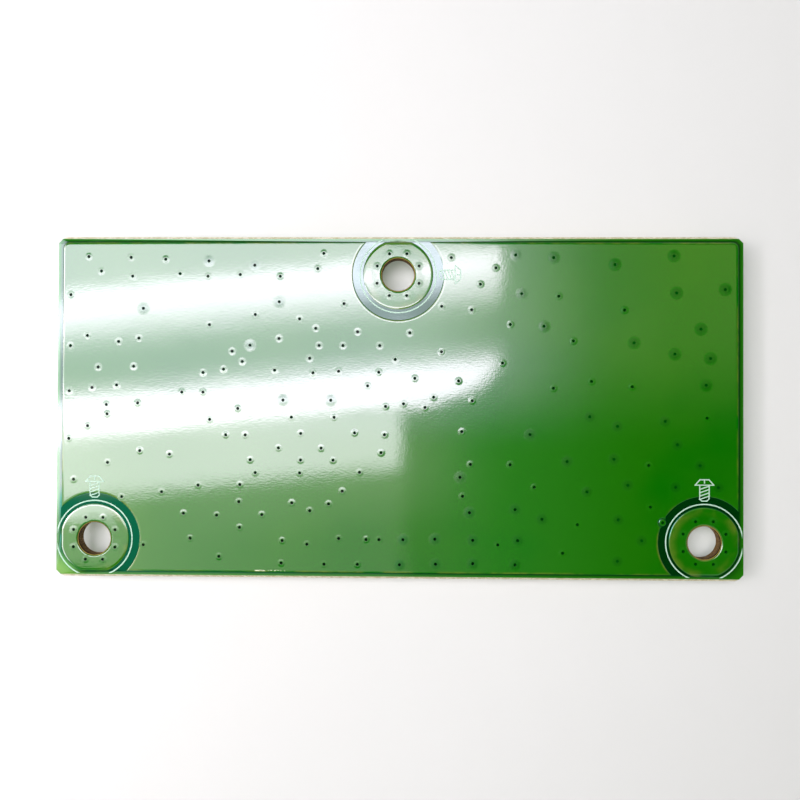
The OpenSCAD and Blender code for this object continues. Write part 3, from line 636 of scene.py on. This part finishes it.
def clear_reach(m, hole, angle, grow):
    """Distance from a hole to the ground copper at an angle. A via's gap may open into the clear field."""
    reach = m.clear_radius - grow
    for via in m.open_vias:
        away = via - hole
        if away.length > m.clear_radius + m.gap_radius:
            continue
        turn = angle - math.atan2(away.y, away.x)
        inside = (m.gap_radius - grow) ** 2 - (away.length * math.sin(turn)) ** 2
        if math.cos(turn) > 0 and inside > 0:
            reach = max(reach, away.length * math.cos(turn) + math.sqrt(inside))
    return reach


def clear_arc(m, hole, grow, start, end, count):
    """Edge of the ground copper round a hole, from one angle to another."""
    return [polar(hole, clear_reach(m, hole, a, grow), a) for a in turns(start, end, count)]


def pour_outline(m, grow, settings):
    """Edge of the ground copper, grown outward: a rectangle with bites round the three holes."""
    hx, hy = m.pour[0] + grow, m.pour[1] + grow
    radius = m.clear_radius - grow
    corner = settings.corner_radius + grow
    top, left, right = m.holes
    count = settings.arc_points
    side = math.acos((hx - right.x) / radius)
    low = math.acos((hy + right.y) / radius)
    opening = math.acos((hy - top.y) / radius)
    quarter = math.pi / 2
    points = clear_arc(m, right, grow, -quarter - low, side - 2 * math.pi, count)
    points += arc((hx - corner, hy - corner), corner, 0.0, quarter, count // 24)
    points += clear_arc(m, top, grow, quarter - opening, opening - 3 * quarter, count)
    points += arc((-hx + corner, hy - corner), corner, quarter, 2 * quarter, count // 24)
    points += clear_arc(m, left, grow, math.pi - side, low - quarter, count)
    return points


def pad_outline(m, hole, grow, settings):
    """Edge of a screw pad, grown outward: a circle that stops where the ground copper stops."""
    points = []
    for i in range(settings.arc_points):
        a = 2 * math.pi * i / settings.arc_points
        reach = m.pad_radius + grow
        for axis, slope in ((0, math.cos(a)), (1, math.sin(a))):
            room = m.pour[axis] + grow - math.copysign(1, slope) * hole[axis]
            if abs(slope) > 1e-6:
                reach = min(reach, room / abs(slope))
        points.append(polar(hole, reach, a))
    return points


def lacquer_steps(m, settings):
    """Offset, height and lay of the loops where the lacquer comes down beside copper, from high to low."""
    drop = m.high - m.low
    slope = settings.slope
    lean = m.high - settings.thin_width * settings.lean
    return [(-settings.thin_width, m.high, COPPER), (0.0, lean, (1.0, 1.0, 0.0, 1.0)),
            (slope * 0.35, m.high - drop * 0.35, (0.8, 0.8, 0.0, 1.0)),
            (slope * 0.65, m.low + drop * 0.22, (0.2, 0.2, 0.0, 1.0)), (slope, m.low, BARE)]


def build_lacquer(m, settings):
    """Lacquer sheet of the ground side, stepped over the copper, open at the vias and the screw holes."""
    sheet = SheetBuilder()
    steps = lacquer_steps(m, settings)
    border = sheet.loop(board_outline(m), m.low - settings.edge_drop, EDGE)
    sheet.wall(border, m.back, False)
    mouths = {}
    islands = []
    for via in m.vias:
        mouth = sheet.loop(ring(via, m.via_radius, settings.via_points), m.high, COPPER)
        sheet.wall(mouth, m.back, True)
        if m.kind(via) != 2:
            mouths[tuple(via)] = mouth
            continue
        land = []
        for grow, z, lay in reversed(steps[1:]):
            circle = ring(via, m.land_radius + grow, settings.via_points)
            land.append(sheet.loop(circle, z, (lay[0], 0.0, 0.0, 1.0)))
        for outer, inner in zip(land, land[1:]):
            sheet.strip(outer, inner)
        sheet.strip(land[-1], mouth, False)
        islands.append(land[0])
    pour = [sheet.loop(pour_outline(m, grow, settings), z, lay) for grow, z, lay in steps]
    for via in m.open_vias:
        for loop in pour:
            sheet.clean(loop, via, m.gap_radius + settings.slope)
    for high, low in zip(pour, pour[1:]):
        sheet.strip(low, high)
    on_pads = set()
    for hole in m.holes:
        pad = [sheet.loop(pad_outline(m, hole, grow, settings), z, lay) for grow, z, lay in steps]
        for high, low in zip(pad, pad[1:]):
            sheet.strip(low, high)
        radius = m.hole_radius + settings.opening_gap
        opening = sheet.loop(ring(hole, radius, settings.arc_points), steps[1][1], steps[1][2])
        shoulder = sheet.loop(ring(hole, radius + settings.thin_width, settings.arc_points), m.high, COPPER)
        sheet.strip(shoulder, opening)
        sheet.wall(opening, m.back, True)
        own = [key for key in mouths if (Vector(key) - hole).length < m.pad_radius]
        on_pads.update(own)
        sheet.tilt(pad[-1], hole, m.clear_radius, -settings.sag)
        sheet.tilt(pour[-1], hole, m.clear_radius, settings.sag)
        sheet.flat(pad[0], [shoulder] + [mouths[key] for key in own])
        islands.append(pad[-1])
    sheet.flat(pour[0], [loop for key, loop in mouths.items() if key not in on_pads])
    sheet.flat(border, [pour[-1]] + islands)
    return add_object("lacquer_sheet", sheet.mesh("lacquer_sheet"))


class BOARD_OT_lacquer(bpy.types.Operator):
    """Makes the green lacquer of both sides"""
    bl_idname = "board.lacquer"
    bl_label = "Lacquer"

    def execute(self, context):
        m = Measures()
        piece = build_lacquer(m, context.scene.board_lacquer)
        coat = lacquer_material("lacquer_ground_side", 0.06, m)
        finish_piece(piece, "solder_mask", coat, "ground_side_mask")
        dress(lacquer_material("lacquer_component_side", 0.1), "component_side_mask")
        return {"FINISHED"}


def rim_tree(material):
    """Geometry nodes that set a lacquer mound on every via, picked by the kind of the via."""
    tree = bpy.data.node_groups.new("rims_on_vias", "GeometryNodeTree")
    graph = Graph(tree)
    graph.socket("INPUT", "Geometry", "Geometry")
    mounds = graph.socket("INPUT", "Mounds", "Collection")
    lowest = graph.socket("INPUT", "Lowest", "Float")
    graph.socket("OUTPUT", "Geometry", "Geometry")
    enter = graph.add("NodeGroupInput")
    leave = graph.add("NodeGroupOutput")
    shapes = graph.add("GeometryNodeCollectionInfo",
                       {"Collection": enter.outputs["Mounds"], "Separate Children": True,
                        "Reset Children": True})
    kind = graph.add("GeometryNodeInputNamedAttribute", {"Name": "kind"}, data_type="INT")
    height = graph.add("FunctionNodeRandomValue", {2: enter.outputs["Lowest"], 3: 1.0, "Seed": RIM_SEED},
                       data_type="FLOAT")
    size = graph.add("ShaderNodeCombineXYZ", {"X": 1.0, "Y": 1.0, "Z": height.outputs[1]})
    spread = graph.add("GeometryNodeInstanceOnPoints", {
        "Points": enter.outputs["Geometry"], "Instance": shapes.outputs[0], "Pick Instance": True,
        "Instance Index": kind.outputs["Attribute"], "Scale": size.outputs[0]})
    real = graph.add("GeometryNodeRealizeInstances", {"Geometry": spread.outputs[0]})
    coat = graph.add("GeometryNodeSetMaterial", {"Geometry": real.outputs[0], "Material": material})
    graph.set(leave, "Geometry", coat.outputs[0])
    return tree, mounds.identifier, lowest.identifier


def lathe(name, profile, count):
    """Object turned about Z from rows of radius, height and lay, closed at its last row. Sizes in mm."""
    sheet = SheetBuilder()
    loops = [sheet.loop(ring((0, 0), radius, count), height, under) for radius, height, under in profile]
    for outer, inner in zip(loops, loops[1:]):
        sheet.strip(outer, inner)
    sheet.faces.append(tuple(loops[-1]))
    sheet.smooth.append(False)
    return bpy.data.objects.new(name, sheet.mesh(name))


def mound_profile(m, reach, height, halo):
    """Rows of a lacquer mound from its foot to the dark inside of its via."""
    crest, lip, brink = (m.via_radius + width for width in (0.06, 0.03, 0.025))
    last = 8
    rows = []
    for i in range(last + 1):
        t = i / last
        radius = reach + (crest - reach) * t
        share = 1.0
        if halo:
            share = HALO_SHARE + (1.0 - HALO_SHARE) * smooth(m.land_radius, reach, radius)
        rows.append((radius, height * (1 - math.cos(math.pi * t)) / 2, (share, 0.0, 0.0, 1.0)))
    inside = (share, 0.0, 0.0, 0.0)
    rows += [(lip, height * 0.95, (share, 0.0, 0.0, 1.0)), (brink, height * 0.9, inside),
             (m.via_radius, height * 0.6, inside), (m.via_radius, m.back - m.high, inside)]
    return rows


class BOARD_OT_rims(bpy.types.Operator):
    """Sets the soft lacquer mounds round the vias"""
    bl_idname = "board.rims"
    bl_label = "Via rims"

    def execute(self, context):
        m = Measures()
        s = context.scene.board_lacquer
        mounds = bpy.data.collections.new("mounds")
        context.scene.collection.children.link(mounds)
        shapes = [("mound_0_ground", s.rim_reach, False), ("mound_1_signal", s.halo_reach, True),
                  ("mound_2_open", m.land_radius, False)]
        for name, reach, halo in shapes:
            profile = mound_profile(m, reach, m.rim_height * s.rim_share, halo)
            mounds.objects.link(lathe(name, profile, s.via_points))
        points = bpy.data.meshes.new("via_points")
        points.from_pydata([(v.x * MM, v.y * MM, m.high * MM) for v in m.vias], [], [])
        points.attributes.new("kind", "INT", "POINT").data.foreach_set("value", [m.kind(v) for v in m.vias])
        source = add_object("via_points", points)
        material = lacquer_material("lacquer_rims", 0.14, m, True)
        tree, mounds_key, lowest_key = rim_tree(material)
        modifier = source.modifiers.new("rims", "NODES")
        modifier.node_group = tree
        modifier[mounds_key] = mounds
        modifier[lowest_key] = s.lowest_rim
        context.view_layer.update()
        baked = bpy.data.meshes.new_from_object(source.evaluated_get(context.evaluated_depsgraph_get()))
        piece = add_object("soft_via_rims", baked)
        for spent in (source, *mounds.objects):
            bpy.data.objects.remove(spent)
        bpy.data.collections.remove(mounds)
        finish_piece(piece, "solder_mask", material, "via_rims")
        return {"FINISHED"}


class BOARD_OT_bare_board(bpy.types.Operator):
    """Dresses the laminate and the copper"""
    bl_idname = "board.bare_board"
    bl_label = "Laminate and copper"

    def execute(self, context):
        m = Measures()
        dress(laminate_material(m), "laminate")
        copper = plain_material("bare_copper", (0.55, 0.28, 0.14), (0.72, 0.40, 0.22), 0.35, 8.0, 0.002, 1.0)
        dress(copper, "ground_copper", "screw_pads", "via_lands")
        return {"FINISHED"}


# Print

def sign_strokes(s):
    """Middle lines of one screw sign: the tip at the origin, the head up +Y, in mm."""
    half = s.shaft_width / 2
    chamfer = half * 0.45
    base = s.shaft_length
    top = base + s.head_height
    strokes = [
        [(-half, base), (-half, chamfer), (-half + chamfer, 0.0), (half - chamfer, 0.0), (half, chamfer),
         (half, base)],
        [(-s.head_width / 2, base), (s.head_width / 2, base), (s.head_top / 2, top), (-s.head_top / 2, top),
         (-s.head_width / 2, base)],
        [(0.0, top), (0.0, top - s.head_height * 0.6)],
    ]
    for i in range(s.hatches):
        y = base * (0.10 + 0.84 * i / s.hatches)
        strokes.append([(-half, y), (half, y + s.shaft_width * 0.36)])
    return strokes


def stroke_mesh(strokes, width, thickness, surface, name):
    """Ink lines as one sheet that follows the height of the lacquer, with a low wall round its edge."""
    places, quads = [], []
    for stroke in strokes:
        for a, b in zip(stroke, stroke[1:]):
            along = (Vector(b) - Vector(a)).normalized()
            side = Vector((-along.y, along.x)) * width / 2
            start, end = Vector(a) - along * width / 2, Vector(b) + along * width / 2
            count = max(2, math.ceil((end - start).length / (width / 2)) + 1)
            first = len(places)
            for i in range(count):
                middle = start.lerp(end, i / (count - 1))
                places += [middle - side, middle + side]
            quads += [(k, k + 2, k + 3, k + 1) for k in range(first, len(places) - 2, 2)]
    places, _, faces, _, _, sources = delaunay_2d_cdt(places, [], quads, 1, 1e-5)
    work = bmesh.new()
    top = [work.verts.new((p.x * MM, p.y * MM, (surface(p) + thickness) * MM)) for p in places]
    for face, source in zip(faces, sources):
        if source:
            work.faces.new([top[i] for i in face])
    bmesh.ops.recalc_face_normals(work, faces=work.faces)
    bmesh.ops.reverse_faces(work, faces=[f for f in work.faces if f.normal.z < 0])
    rim = bmesh.ops.extrude_edge_only(work, edges=[e for e in work.edges if len(e.link_faces) == 1])
    for vert in rim["geom"]:
        if isinstance(vert, bmesh.types.BMVert):
            vert.co.z = surface(Vector(vert.co[:2]) / MM) * MM
    bmesh.ops.delete(work, geom=[v for v in work.verts if not v.link_faces], context="VERTS")
    mesh = bpy.data.meshes.new(name)
    work.to_mesh(mesh)
    work.free()
    return add_object(name, mesh)


def lacquer_height(m, settings):
    """Function that gives the height of the lacquer at a place, in mm."""
    def height(place):
        gap = min((place - hole).length for hole in m.holes)
        outside = max(abs(place.x) - m.pour[0], abs(place.y) - m.pour[1])
        beyond = min(max(outside, m.clear_radius - gap), max(outside, gap - m.pad_radius))
        share = 1.0 - min(max(beyond / settings.slope, 0.0), 1.0)
        return m.low + (m.high - m.low) * share
    return height


class BOARD_OT_print(bpy.types.Operator):
    """Prints the rings and the screw signs in white ink"""
    bl_idname = "board.print"
    bl_label = "White print"

    def execute(self, context):
        m = Measures()
        s = context.scene.board_print
        ink = plain_material("white_ink", (0.34, 0.52, 0.38), (0.42, 0.59, 0.46), 0.4, 6.0, 0.0005, gloss=0.15)
        dress(ink, "printed_rings")
        height = lacquer_height(m, context.scene.board_lacquer)
        for number, hole in enumerate(m.holes):
            turn = -math.pi / 2 if hole.y > 0 else 0.0
            placed = []
            for stroke in sign_strokes(s):
                line = []
                for x, y in stroke:
                    y += s.tip_gap
                    line.append((hole.x + x * math.cos(turn) - y * math.sin(turn),
                                 hole.y + x * math.sin(turn) + y * math.cos(turn)))
                placed.append(line)
            piece = stroke_mesh(placed, s.line, s.thickness, height, f"screw_sign_{number + 1}")
            finish_piece(piece, "ink", ink)
        return {"FINISHED"}


# Component side

# Material, dark and light colour, roughness, grain, depth, metallic share, and the ends of its nodes' names
COMPONENT_LOOKS = (
    ("tinned_metal", (0.52, 0.52, 0.50), (0.70, 0.70, 0.68), 0.32, 10.0, 0.004, 1.0,
     ("solder_pads", "_leads", "_terminals", "_tabs", "_ends")),
    ("shell_sheet", (0.50, 0.50, 0.49), (0.62, 0.62, 0.61), 0.38, 5.0, 0.003, 1.0, ("_shell",)),
    ("contact_plating", (0.70, 0.50, 0.20), (0.84, 0.64, 0.30), 0.28, 10.0, 0.002, 1.0, ("_contacts",)),
    ("socket_moulding", (0.56, 0.52, 0.40), (0.66, 0.62, 0.50), 0.55, 9.0, 0.006, 0.0, ("_housing",)),
    ("chip_resin", (0.012, 0.012, 0.013), (0.022, 0.022, 0.023), 0.62, 14.0, 0.010, 0.0,
     ("_chip_body", "_shifter_body", "diode_1_body", "diode_2_body")),
    ("pressed_composite", (0.035, 0.036, 0.038), (0.06, 0.061, 0.064), 0.6, 7.0, 0.014, 0.0,
     ("inductor_1_body", "inductor_2_body", "inductor_3_body")),
    ("capacitor_ceramic", (0.20, 0.12, 0.065), (0.30, 0.20, 0.12), 0.45, 9.0, 0.004, 0.0,
     ("capacitor_bodies",)),
    ("resistor_glaze", (0.010, 0.010, 0.011), (0.020, 0.020, 0.021), 0.3, 9.0, 0.003, 0.0,
     ("resistor_bodies",)),
    ("fuse_ceramic", (0.58, 0.58, 0.54), (0.68, 0.68, 0.64), 0.5, 9.0, 0.004, 0.0, ("fuse_body",)),
)


class BOARD_OT_components(bpy.types.Operator):
    """Dresses the sockets, chips and small parts of the component side"""
    bl_idname = "board.components"
    bl_label = "Component side"

    def execute(self, context):
        for *look, ends in COMPONENT_LOOKS:
            dress(plain_material(*look), *[name for name in frame["nodes"] if name.endswith(ends)])
        return {"FINISHED"}


# Stage

def room_glow(x, y):
    """Light of the room that the board mirrors at a place of the board, in mm, as seen by the camera."""
    upper = smooth(-5.0, 6.0, y)
    inside = smooth(44.0, 40.5, x) * smooth(23.5, 21.0, abs(y))
    far = 0.7 * smooth(-5.0, 11.0, y) * inside
    ceiling = upper * (3.6 * smooth(26.0, -4.0, x) + 0.2 * smooth(0.0, -40.0, x)) * smooth(25.0, 21.5, y)
    # Upper bright band: a sharp top edge that rises to the right, and a long fade below
    top = 17.45 + 0.105 * x
    fade = 13.6 + 0.1 * x
    upper_band = smooth(0.7, -0.7, y - top) * smooth(fade - 4.2, fade + 2.8, y) * smooth(12.6, 11.4, x)
    cornice = 2.3 * smooth(-0.8, 0.6, y - top) * smooth(12.0, 6.0, x) * smooth(23.5, 21.0, y)
    # Lower bright band: sharp below, with a faint fringe above, cut off aslant at its right end
    crest = y - 4.5 - 0.095 * x
    soft = 0.4 + 0.1 * max(x - 4.0, 0.0)
    lower_band = 0.65 * smooth(0.6, -0.6, crest) + 0.35 * smooth(2.8, -0.2, crest)
    end = 0.35 * (x - 3.0) + 0.65 * max(x - 9.0, 0.0)
    sill = min(0.4 + 0.105 * x, 0.0)
    lower_band *= smooth(-0.6, 0.6, y - sill) * smooth(-soft, soft, y - end) * smooth(13.5, 10.5, x)
    # Pale wall below the lower band, which ends near the middle of the board, and the haze under it
    foot = -6.9 + 0.08 * x - 0.0008 * x * x
    wall = smooth(foot - 1.2, foot + 0.9, y) * smooth(1.0, -0.2, x) * smooth(2.0, -2.0, y)
    haze = 0.4 * smooth(30.0, 6.0, x) + 0.55 * smooth(2.5, -1.0, x) + 1.2 * smooth(2.0, -50.0, x)
    haze += 0.7 * smooth(9.0, 0.0, foot - y) * smooth(14.0, -1.0, x) * smooth(-34.0, -16.0, x)
    # The window far to the left, which the board doesn't mirror
    bright = 9.0 * (upper_band + lower_band) + 9.0 * smooth(-46.0, -60.0, x)
    light = Vector((1.02, 1.0, 1.24)) * ceiling + Vector((1.11, 0.96, 1.16)) * bright
    light += Vector((1.06, 0.94, 1.08)) * cornice
    light += Vector((1.0, 0.93, 1.05)) * (5.5 * wall)
    # The far end of the room and the haze turn greener to the right
    deep, side = smooth(22.0, 34.0, x), smooth(2.0, 14.0, x)
    light += Vector((1.03 - 0.1 * deep, 1.17, 0.62 - 0.27 * deep)) * far
    return light + Vector((1.0 - 0.55 * side, 1.05, 0.82 - 0.4 * side)) * ((1.0 - upper) * haze * inside)


class BOARD_OT_stage(bpy.types.Operator):
    """Sets up the floor, the bright room overhead and the camera"""
    bl_idname = "board.stage"
    bl_label = "Stage"

    def execute(self, context):
        s = context.scene.board_stage
        m = Measures()
        self.floor(s)
        self.room(s, m)
        self.world(context)
        self.under_light()
        camera = add_object("camera", bpy.data.cameras.new("camera"))
        camera.data.lens = s.lens
        camera.data.clip_start = MM
        camera.location = [v * MM for v in s.camera]
        camera.rotation_euler = [math.radians(v) for v in s.tilt]
        context.scene.camera = camera
        context.scene.view_settings.view_transform = "Standard"
        return {"FINISHED"}

    def floor(self, s):
        half = s.floor_size / 2 * MM
        mesh = bpy.data.meshes.new("floor")
        corners = [(-half, -half, 0), (half, -half, 0), (half, half, 0), (-half, half, 0)]
        mesh.from_pydata(corners, [], [(0, 1, 2, 3)])
        floor = add_object("floor", mesh)
        material, graph, shader = new_material("pale_floor")
        shade = graph.noise(graph.place(), 0.02, 3.0)
        graph.set(shader, "Base Color", graph.mix(shade, (0.6, 0.62, 0.567), (0.63, 0.65, 0.597)))
        graph.set(shader, "Roughness", 0.8)
        graph.set(shader, "Specular IOR Level", 0.1)
        behind = graph.add("ShaderNodeNewGeometry").outputs["Backfacing"]
        clear = graph.add("ShaderNodeBsdfTransparent")
        both = graph.add("ShaderNodeMixShader", {0: behind, 1: shader.outputs[0], 2: clear.outputs[0]})
        graph.set(graph.tree.nodes["Material Output"], 0, both.outputs[0])
        mesh.materials.append(material)

    def room(self, s, m):
        """Overhead card whose brightness is the mirrored room, drawn from the camera's own place."""
        nadir = s.camera[:2]
        scale = 1.0 + s.room_height / (s.camera[2] - m.high)
        nx, ny = (round((high - low) / ROOM_STEP) + 1 for low, high in zip(ROOM_LOW, ROOM_HIGH))
        verts, glow, faces = [], [], []
        for j in range(ny):
            for i in range(nx):
                x, y = ROOM_LOW[0] + i * ROOM_STEP, ROOM_LOW[1] + j * ROOM_STEP
                verts.append([(n + (v - n) * scale) * MM for v, n in zip((x, y), nadir)]
                             + [(m.high + s.room_height) * MM])
                glow += [*room_glow(x, y), 1.0]
        for j in range(ny - 1):
            for i in range(nx - 1):
                a = j * nx + i
                faces.append((a, a + nx, a + nx + 1, a + 1))
        mesh = bpy.data.meshes.new("room_card")
        mesh.from_pydata(verts, [], faces)
        mesh.attributes.new("glow", "FLOAT_COLOR", "POINT").data.foreach_set("color", glow)
        material, graph, light = new_material("room_card", "ShaderNodeEmission")
        stored = graph.add("ShaderNodeAttribute", attribute_name="glow")
        graph.set(light, "Color", stored.outputs["Color"])
        mesh.materials.append(material)
        card = add_object("room_card", mesh)
        card.visible_camera = False
        card.visible_shadow = False

    def under_light(self):
        """Soft light from below for the hidden side. It reaches only the parts of that side."""
        parts = bpy.data.collections.new("component_side")
        bare = ("laminate", "ground_copper", "screw_pads", "via_lands", "ground_side_mask", "via_rims",
                "printed_rings")
        for name, node in frame["nodes"].items():
            if name not in bare:
                parts.objects.link(node)
        lamp = bpy.data.lights.new("under_light", "AREA")
        lamp.shape = "SQUARE"
        lamp.size = LAMP_SIDE
        lamp.energy = LAMP_POWER
        holder = add_object("under_light", lamp)
        holder.location = (0.0, 0.0, -LAMP_DEPTH)
        holder.rotation_euler = (math.pi, 0.0, 0.0)
        holder.visible_camera = False
        holder.light_linking.receiver_collection = parts
        holder.light_linking.blocker_collection = parts

    def world(self, context):
        world = bpy.data.worlds.new("pale_room")
        world.use_nodes = True
        graph = Graph(world.node_tree)
        sky = graph.add("ShaderNodeBackground", {"Color": (0.95, 0.97, 1.0, 1.0), "Strength": 0.36})
        graph.add("ShaderNodeOutputWorld", {0: sky.outputs[0]})
        context.scene.world = world


class BOARD_PT_panel(bpy.types.Panel):
    """Lists the steps that dress the board"""
    bl_idname = "BOARD_PT_panel"
    bl_label = "T-con board"
    bl_space_type = "VIEW_3D"
    bl_region_type = "UI"
    bl_category = "Board"

    def draw(self, context):
        for step in STEPS:
            self.layout.operator(step.bl_idname)
        for group in SETTINGS:
            settings = getattr(context.scene, group)
            for key in settings.bl_rna.properties.keys():
                if key not in ("rna_type", "name"):
                    self.layout.prop(settings, key)


STEPS = (BOARD_OT_lacquer, BOARD_OT_rims, BOARD_OT_bare_board, BOARD_OT_print, BOARD_OT_components,
         BOARD_OT_stage)
SETTINGS = {"board_lacquer": LacquerSettings, "board_print": PrintSettings, "board_stage": StageSettings}


def register():
    for group, kind in SETTINGS.items():
        bpy.utils.register_class(kind)
        setattr(bpy.types.Scene, group, bpy.props.PointerProperty(type=kind))
    for kind in (*STEPS, BOARD_PT_panel):
        bpy.utils.register_class(kind)


def unregister():
    for kind in reversed((*STEPS, BOARD_PT_panel)):
        bpy.utils.unregister_class(kind)
    for group, kind in SETTINGS.items():
        delattr(bpy.types.Scene, group)
        bpy.utils.unregister_class(kind)


def main():
    register()
    bpy.ops.board.lacquer()
    bpy.ops.board.rims()
    bpy.ops.board.bare_board()
    bpy.ops.board.print()
    bpy.ops.board.components()
    bpy.ops.board.stage()


if __name__ == "__main__":
    main()
